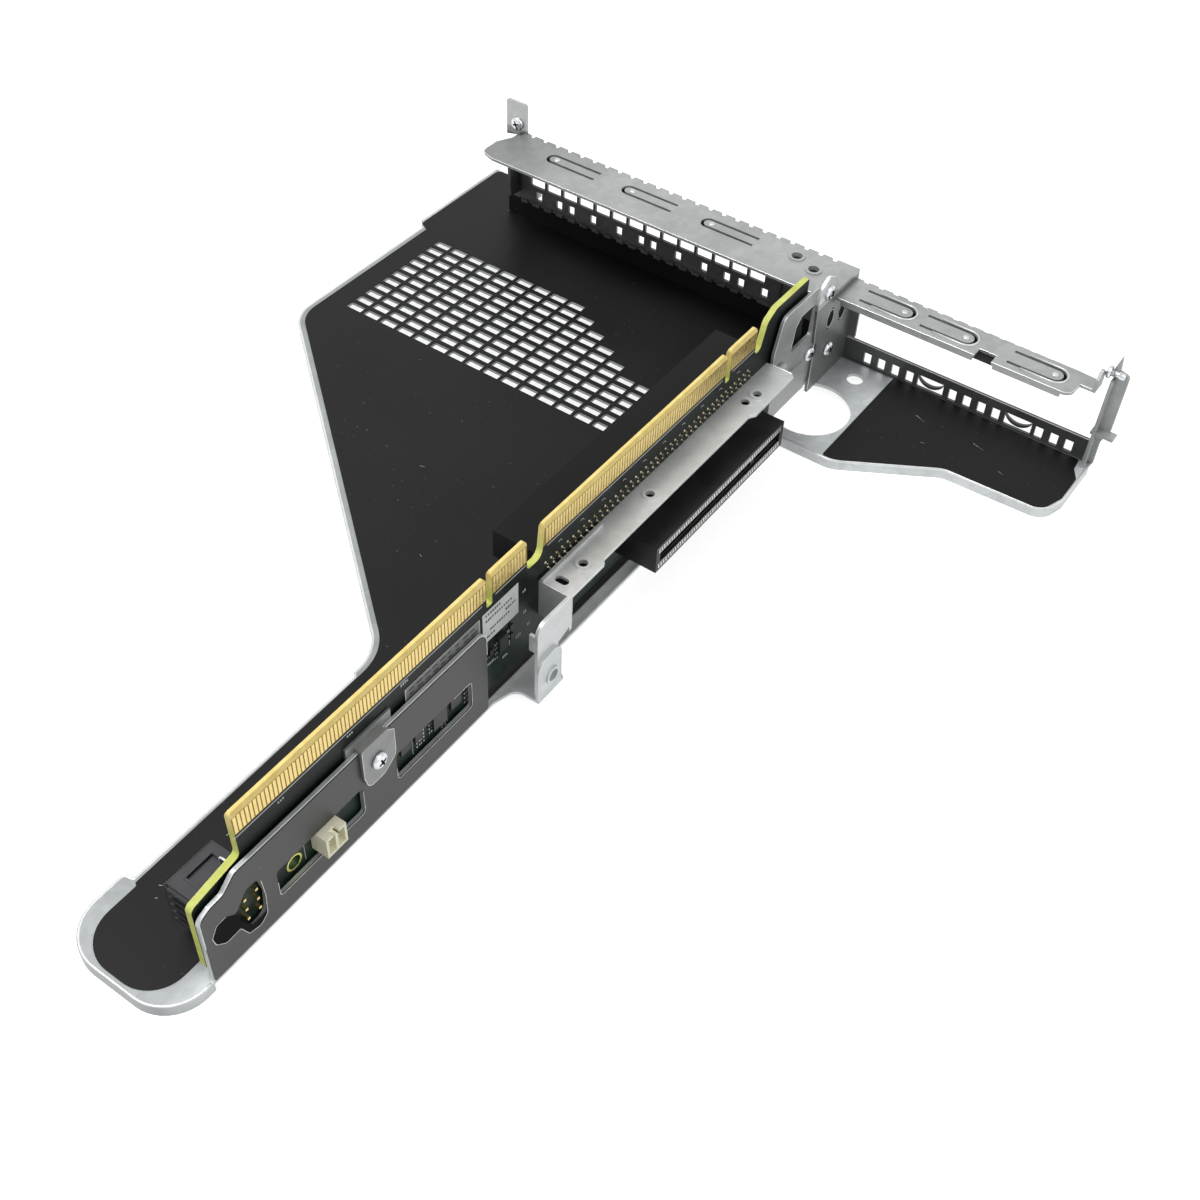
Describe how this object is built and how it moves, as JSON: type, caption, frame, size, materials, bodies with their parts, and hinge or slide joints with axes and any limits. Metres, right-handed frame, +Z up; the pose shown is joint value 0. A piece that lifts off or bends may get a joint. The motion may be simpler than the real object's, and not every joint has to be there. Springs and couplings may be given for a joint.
{
  "type": "server riser assembly",
  "caption": "Steel-tray server riser with an upright board, two top edge connectors, side card slots and rear card brackets.",
  "frame": {"origin": "front end of the first edge connector's tongue, at its tip, on the board's right face", "axes": "+Z up out of the edge connectors, +Y along the board to the rear brackets, +X to the right, square to the board"},
  "size_m": [0.208, 0.2646, 0.0405],
  "materials": {
    "galvanised_steel": "satin zinc-coated sheet",
    "black_film": "matt fine-grained film",
    "board_laminate": "dark solder mask with bare yellow-green edges",
    "gold_contacts": "gold plated",
    "black_plastic": "moulded black plastic",
    "cream_plastic": "moulded cream plastic",
    "label_paper": "blank label",
    "chip_black": "chip packages",
    "screw_zinc": "bright zinc"
  },
  "bodies": {
    "root": {"base_tray": "galvanised_steel", "left_floor_film": "black_film", "right_floor_film": "black_film", "front_wall_film": "black_film", "riser_board": "board_laminate", "edge_contacts": "gold_contacts", "left_slot": "black_plastic", "right_slot": "black_plastic", "support_rail": "galvanised_steel", "side_plate": "galvanised_steel", "rear_bracket": "galvanised_steel", "slot_cover": "galvanised_steel", "spring_strip": "galvanised_steel", "end_post": "galvanised_steel", "power_header": "black_plastic", "power_pins": "gold_contacts", "pocket_header": "cream_plastic", "pocket_pins": "gold_contacts", "board_clip": "galvanised_steel", "board_labels": "label_paper", "board_chips": "chip_black", "pan_screws": "screw_zinc"}
  },
  "joints": []
}
